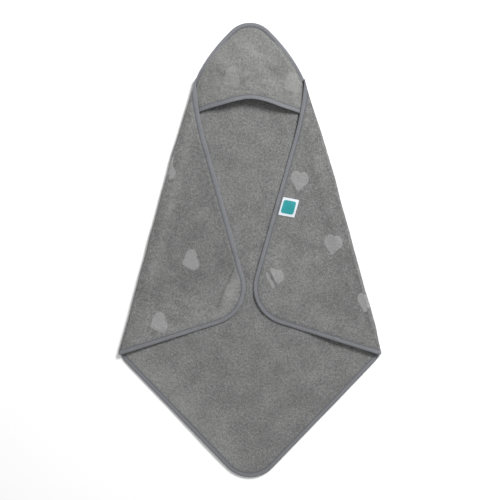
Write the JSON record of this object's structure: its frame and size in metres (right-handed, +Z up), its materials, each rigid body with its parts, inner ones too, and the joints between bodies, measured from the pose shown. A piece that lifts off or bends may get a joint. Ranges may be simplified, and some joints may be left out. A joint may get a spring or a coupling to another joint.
{
  "type": "hooded baby towel",
  "caption": "Grey terry hooded baby towel with a bound edge, laid flat with its side corners folded over the middle.",
  "frame": {"origin": "on the ground, under the middle of the laid towel's outline", "axes": "+Z up out of the inner face, +Y from the foot corner to the hood corner, +X across to the labelled flap"},
  "size_m": [0.5934, 1.0438, 0.0197],
  "materials": {
    "terry": "looped terry pile, mid grey",
    "hood_terry": "looped terry pile, a little lighter",
    "binding": "plain woven bias tape, cool grey",
    "thread": "matt polyester sewing thread",
    "label": "white woven satin with a teal patch"
  },
  "bodies": {
    "towel": {"back_panel": "terry", "hood_corner_binding": "binding", "hood_corner_stitching": "thread", "left_side_binding": "binding", "right_side_binding": "binding", "left_side_stitching": "thread", "right_side_stitching": "thread"},
    "left_flap": {"left_flap_panel": "terry", "left_fold_roll": "terry", "left_flap_binding": "binding", "left_flap_stitching": "thread"},
    "right_flap": {"right_flap_panel": "terry", "right_fold_roll": "terry", "right_flap_binding": "binding", "right_flap_stitching": "thread", "binding_join": "binding", "label_stitching": "thread"},
    "foot": {"foot_panel": "terry", "foot_binding": "binding", "foot_stitching": "thread"},
    "hood": {"hood_panel": "hood_terry", "hood_front_binding": "binding", "hood_front_stitching": "thread"},
    "label": {"care_label": "label"}
  },
  "joints": [
    {"name": "left_flap_fold", "type": "hinge", "parent": "towel", "child": "left_flap", "pos_m": [-0.29692, -0.24153, 0.0063], "axis": [-0.2622, -0.965, 0], "range_deg": [0, 180]},
    {"name": "right_flap_fold", "type": "hinge", "parent": "towel", "child": "right_flap", "pos_m": [0.29692, -0.24153, 0.0063], "axis": [-0.2622, 0.965, 0], "range_deg": [0, 180]},
    {"name": "foot_fold", "type": "hinge", "parent": "towel", "child": "foot", "pos_m": [0, -0.27, 0.0115], "axis": [-1, 0, 0], "range_deg": [0, 180]},
    {"name": "hood_lift", "type": "hinge", "parent": "towel", "child": "hood", "pos_m": [0, 0.504, 0.0035], "axis": [-1, 0, 0], "range_deg": [0, 15]},
    {"name": "label_flip", "type": "hinge", "parent": "right_flap", "child": "label", "pos_m": [0.07008, 0.09834, 0.01072], "axis": [-0.2725, -0.9621, -0.0103], "range_deg": [0, 150]}
  ]
}
